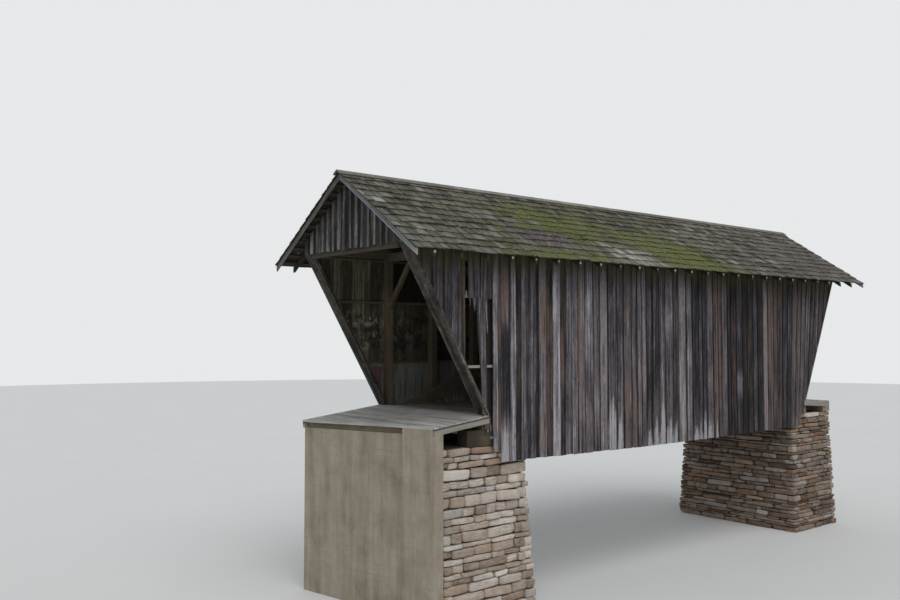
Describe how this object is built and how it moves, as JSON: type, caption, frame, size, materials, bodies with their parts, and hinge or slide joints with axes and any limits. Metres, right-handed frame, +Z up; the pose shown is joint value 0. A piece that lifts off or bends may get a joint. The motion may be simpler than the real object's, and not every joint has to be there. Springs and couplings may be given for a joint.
{
  "type": "covered timber footbridge",
  "caption": "Weathered timber covered bridge with slanted board-and-cover walls, a gabled shingle roof, approach decks and stone abutments.",
  "frame": {"origin": "on the ground under the middle of the roof, at the feet of the abutments", "axes": "+X along the bridge to the far portal, +Y to the left seen from the near portal, +Z up"},
  "size_m": [15.8299, 5.0042, 8.3295],
  "materials": {
    "rubble_stone": "rough",
    "concrete": "rough",
    "weathered_siding": "weathered",
    "mossy_shingles": "weathered",
    "blue_grey_trim": "weathered",
    "grey_planks": "weathered",
    "shelter_timber": "weathered",
    "frame_timber": "rough-sawn"
  },
  "bodies": {
    "root": {"bottom_chord_left": "frame_timber", "bottom_chord_right": "frame_timber", "cover_boards_left": "weathered_siding", "cover_boards_right": "weathered_siding", "far_abutment": "rubble_stone", "far_approach_joists": "frame_timber", "far_approach_planks": "grey_planks", "far_backwall": "concrete", "far_bearer": "frame_timber", "far_gable_boards": "weathered_siding", "far_gable_frame": "frame_timber", "far_rake_boards": "blue_grey_trim", "far_shelter_boards": "shelter_timber", "floor_beams": "frame_timber", "floor_planks": "grey_planks", "knee_braces": "frame_timber", "near_abutment": "rubble_stone", "near_approach_joists": "frame_timber", "near_approach_planks": "grey_planks", "near_backwall": "concrete", "near_bearer": "frame_timber", "near_gable_boards": "weathered_siding", "near_gable_frame": "frame_timber", "near_rake_boards": "blue_grey_trim", "near_rim_joist": "frame_timber", "near_shelter_boards": "shelter_timber", "queen_posts": "frame_timber", "rafters_left": "frame_timber", "rafters_right": "frame_timber", "ridge_board": "frame_timber", "ridge_cap": "mossy_shingles", "roof_laths_left": "frame_timber", "roof_laths_right": "frame_timber", "roof_shingles_left": "mossy_shingles", "roof_shingles_right": "mossy_shingles", "siding_left": "weathered_siding", "siding_right": "weathered_siding", "straining_beams": "frame_timber", "tie_beams": "frame_timber", "top_plate_left": "frame_timber", "top_plate_right": "frame_timber", "truss_braces_left": "frame_timber", "truss_braces_right": "frame_timber", "wall_posts_left": "frame_timber", "wall_posts_right": "frame_timber", "wall_rails_left": "frame_timber", "wall_rails_right": "frame_timber"}
  },
  "joints": []
}
